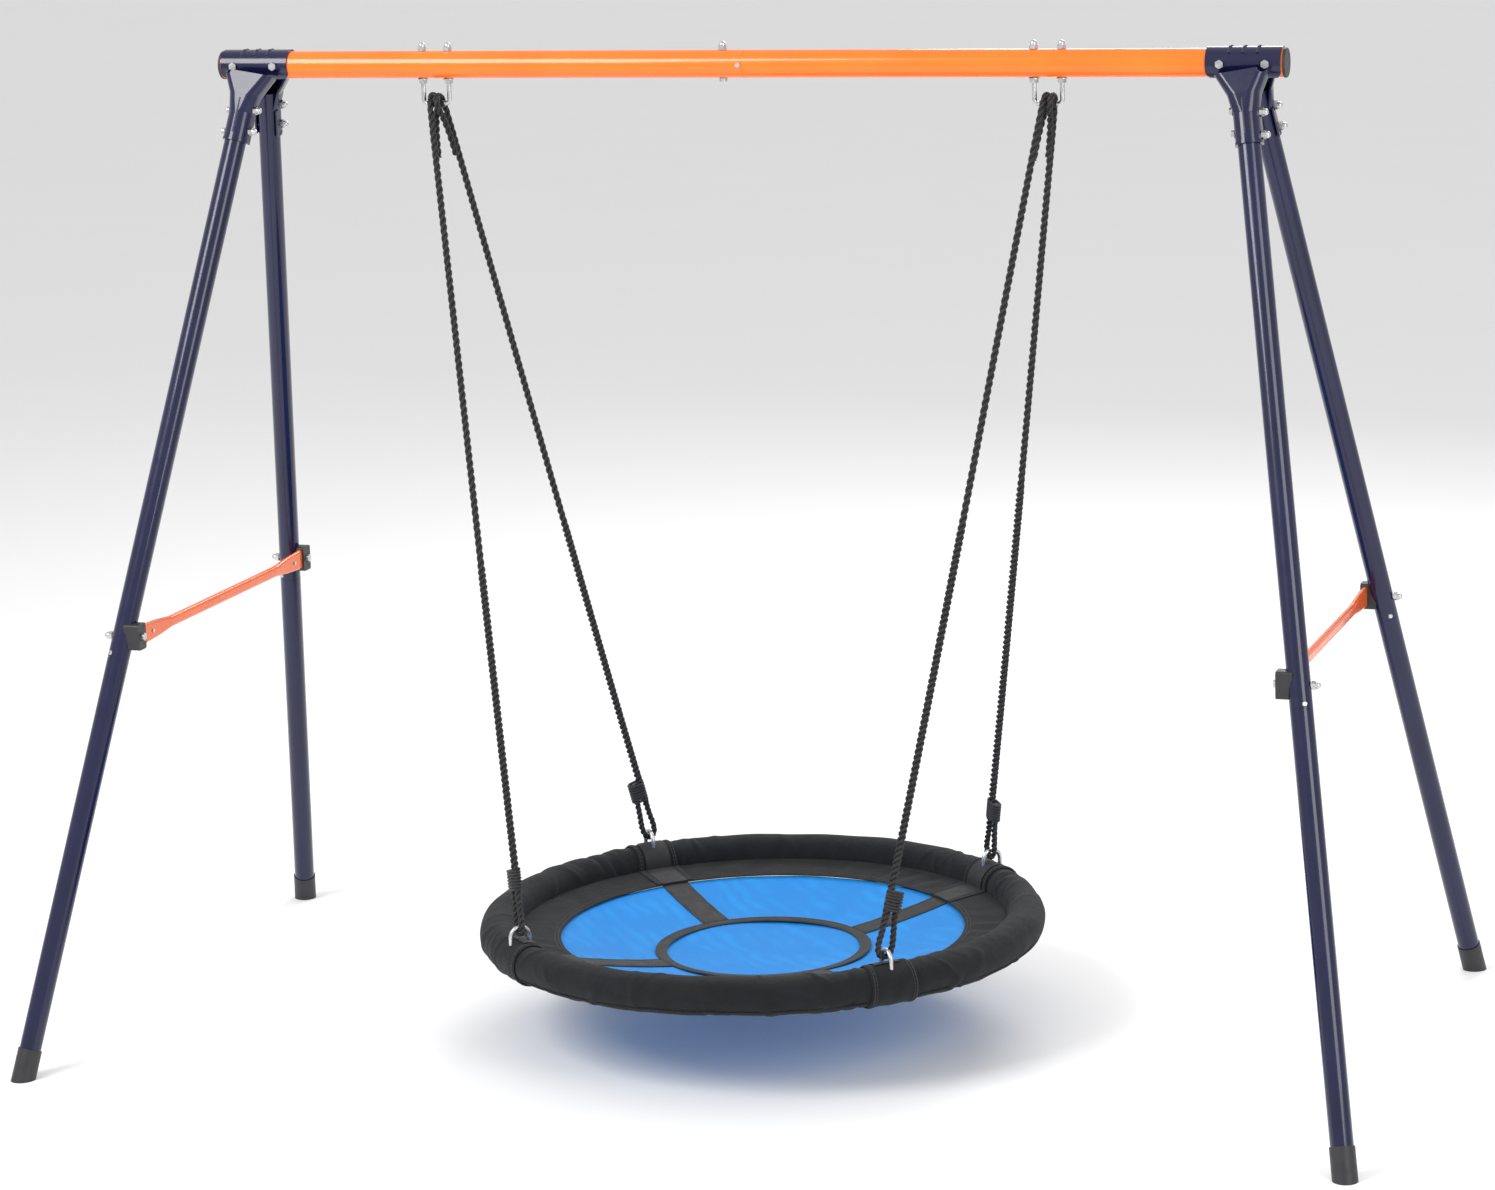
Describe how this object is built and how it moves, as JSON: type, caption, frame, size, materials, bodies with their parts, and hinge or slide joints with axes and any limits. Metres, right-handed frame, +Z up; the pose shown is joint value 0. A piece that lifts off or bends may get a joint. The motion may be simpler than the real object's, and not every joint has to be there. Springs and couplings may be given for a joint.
{
  "type": "saucer nest swing",
  "caption": "A-frame swing stand with a round padded nest seat hung on four ropes; the seat swings front to back and sways sideways.",
  "frame": {"origin": "floor level, midway between the four feet, straight below the middle of the beam", "axes": "+Z up, +X along the top beam towards the right-hand A-frame, the front of the stand faces -Y"},
  "size_m": [2.3624, 1.244, 1.739],
  "materials": {
    "beam_orange": "gloss",
    "brace_orange": "gloss",
    "navy": "gloss",
    "zinc": "satin",
    "hoop_steel": "satin",
    "black_plastic": "satin",
    "black_rope": "twisted",
    "foam": "soft foam",
    "charcoal_fabric": "woven",
    "blue_mesh": "open weave",
    "black_webbing": "webbing"
  },
  "bodies": {
    "stand": {"beam_end_caps": "black_plastic", "beam_joint_bolt": "zinc", "beam_joint_nut": "zinc", "beam_joint_screw": "zinc", "beam_tube_left": "beam_orange", "beam_tube_right": "beam_orange", "brace_bar_left": "brace_orange", "brace_bar_right": "brace_orange", "brace_blocks": "black_plastic", "brace_bolts": "zinc", "brace_nuts": "zinc", "brace_screws": "zinc", "bracket_bolts": "zinc", "bracket_nuts": "zinc", "foot_caps": "black_plastic", "head_bracket_front_left": "navy", "head_bracket_front_right": "navy", "head_bracket_rear_left": "navy", "head_bracket_rear_right": "navy", "leg_bolts": "zinc", "leg_joint_screws": "zinc", "leg_lower_front_left": "navy", "leg_lower_front_right": "navy", "leg_lower_rear_left": "navy", "leg_lower_rear_right": "navy", "leg_nuts": "zinc", "leg_upper_front_left": "navy", "leg_upper_front_right": "navy", "leg_upper_rear_left": "navy", "leg_upper_rear_right": "navy", "ubolt_cap_nuts": "zinc", "ubolt_left": "zinc", "ubolt_lower_nuts": "zinc", "ubolt_right": "zinc", "ubolt_washers": "zinc"},
    "sleeve_left": {"pivot_sleeve_left": "black_plastic"},
    "ropes_left": {"rope_front_left": "black_rope", "rope_rear_left": "black_rope", "rope_whippings_left": "black_rope"},
    "seat": {"rim_hoop": "hoop_steel", "rim_foam": "foam", "rim_cover": "charcoal_fabric", "rim_skirt": "charcoal_fabric", "rim_patches": "charcoal_fabric", "seat_mat": "blue_mesh", "seat_centre_ring": "black_webbing", "seat_straps": "black_webbing", "seat_rings": "zinc"},
    "sleeve_right": {"pivot_sleeve_right": "black_plastic"},
    "ropes_right": {"rope_front_right": "black_rope", "rope_rear_right": "black_rope", "rope_whippings_right": "black_rope"}
  },
  "joints": [
    {"name": "swing", "type": "hinge", "parent": "stand", "child": "sleeve_left", "pos_m": [-0.55, 0, 1.632], "axis": [1, 0, 0], "range_deg": [-45, 45]},
    {"name": "sway", "type": "hinge", "parent": "sleeve_left", "child": "ropes_left", "pos_m": [-0.55, 0, 1.632], "axis": [0, 1, 0], "range_deg": [-7, 7]},
    {"name": "seat_level", "type": "hinge", "parent": "ropes_left", "child": "seat", "pos_m": [-0.32951, 0, 0.249], "axis": [0, 1, 0], "range_deg": [-12, 12]},
    {"name": "swing_right", "type": "hinge", "parent": "stand", "child": "sleeve_right", "pos_m": [0.55, 0, 1.632], "axis": [1, 0, 0], "range_deg": [-45.5, 45.5]},
    {"name": "sway_right", "type": "hinge", "parent": "sleeve_right", "child": "ropes_right", "pos_m": [0.55, 0, 1.632], "axis": [0, 1, 0], "range_deg": [-7.2, 7.2]}
  ],
  "couplings": [
    {"joint": "swing_right", "follows": "swing", "ratio": 1},
    {"joint": "seat_level", "follows": "sway", "ratio": -1.6691},
    {"joint": "sway_right", "follows": "sway", "ratio": 1}
  ]
}
